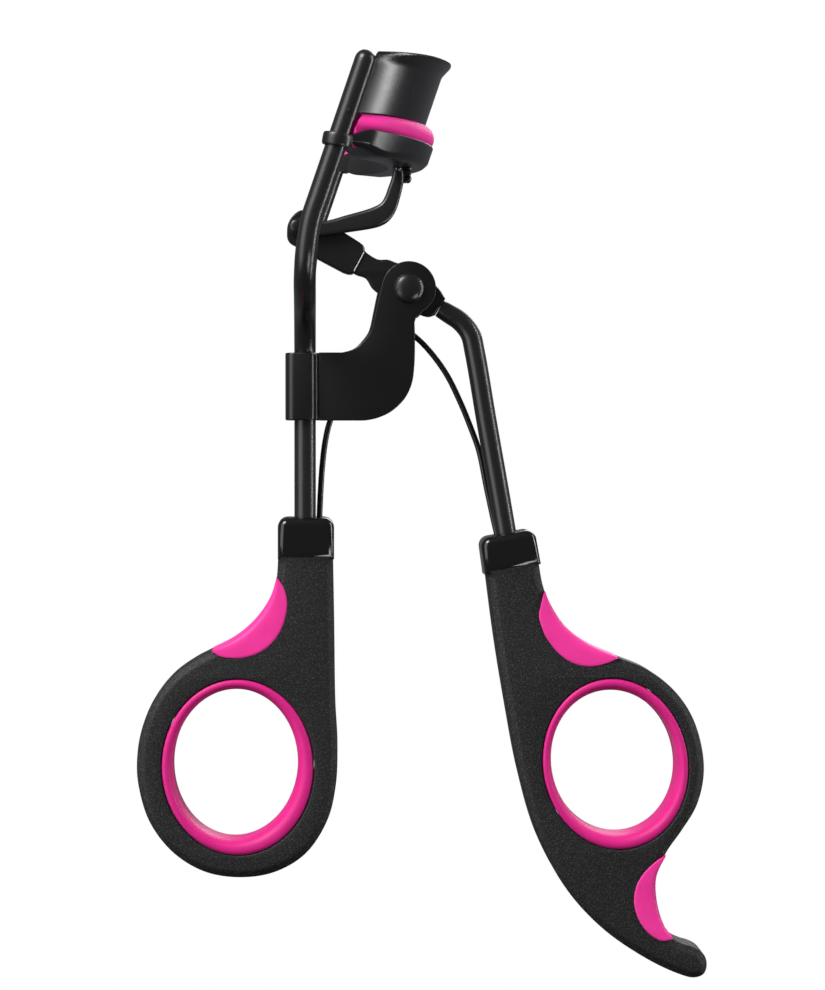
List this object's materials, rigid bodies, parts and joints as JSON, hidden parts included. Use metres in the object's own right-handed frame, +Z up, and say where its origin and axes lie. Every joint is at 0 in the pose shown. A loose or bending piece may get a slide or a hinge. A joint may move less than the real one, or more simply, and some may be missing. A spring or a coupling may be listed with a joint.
{
  "type": "eyelash curler",
  "caption": "Scissor-type eyelash curler: curved sliding jaws with a soft pad, pivoted lever, link, return spring and soft-lined finger rings.",
  "frame": {"origin": "centre of the bounding box with the jaws closed", "axes": "+Z up from the handles to the jaws, +X from the frame's handle towards the lever's handle and the bulge of the jaws, Y along the lever's pivot pin"},
  "size_m": [0.0734, 0.037, 0.118],
  "materials": {
    "black_metal": "satin black coating",
    "washer_steel": "plain steel",
    "gloss_black": "glossy",
    "matte_black": "fine speckled texture",
    "pink_silicone": "smooth soft silicone"
  },
  "bodies": {
    "frame": {"guide_rod_near": "black_metal", "guide_rod_far": "black_metal", "upper_jaw": "black_metal", "pivot_bracket": "black_metal", "pivot_pin": "black_metal", "pivot_washer_near": "washer_steel", "pivot_washer_far": "washer_steel", "frame_ferrule": "gloss_black", "frame_handle": "matte_black", "frame_ring_grip": "pink_silicone", "frame_thumb_rest": "pink_silicone", "return_spring": "black_metal"},
    "lever": {"lever_arm": "black_metal", "link_lower_pin": "black_metal", "lever_ferrule": "gloss_black", "lever_handle": "matte_black", "lever_ring_grip": "pink_silicone", "lever_upper_rest": "pink_silicone", "lever_tail_rest": "pink_silicone"},
    "link": {"jaw_link": "black_metal", "link_upper_pin": "black_metal"},
    "jaw": {"lower_jaw": "black_metal", "lash_pad": "pink_silicone", "jaw_lug": "black_metal", "lug_rivet_1": "black_metal", "lug_rivet_2": "black_metal"}
  },
  "joints": [
    {"name": "lever_open", "type": "hinge", "parent": "frame", "child": "lever", "pos_m": [-0.00178, 0, 0.02987], "axis": [0, -1, 0], "range_deg": [0, 26], "stiffness_Nm_per_rad": 0.05, "deforming": ["return_spring"]},
    {"name": "jaw_slide", "type": "slide", "parent": "frame", "child": "jaw", "axis": [-0.3231, 0, -0.9464], "range_m": [0, 0.0074]},
    {"name": "link_swing", "type": "hinge", "parent": "lever", "child": "link", "pos_m": [-0.01618, 0, 0.03777], "axis": [0, -1, 0], "range_deg": [-25.6, 0]}
  ],
  "couplings": [
    {"joint": "jaw_slide", "follows": "lever_open", "m_per_rad": 0.01606},
    {"joint": "link_swing", "follows": "lever_open", "ratio": -0.978}
  ]
}
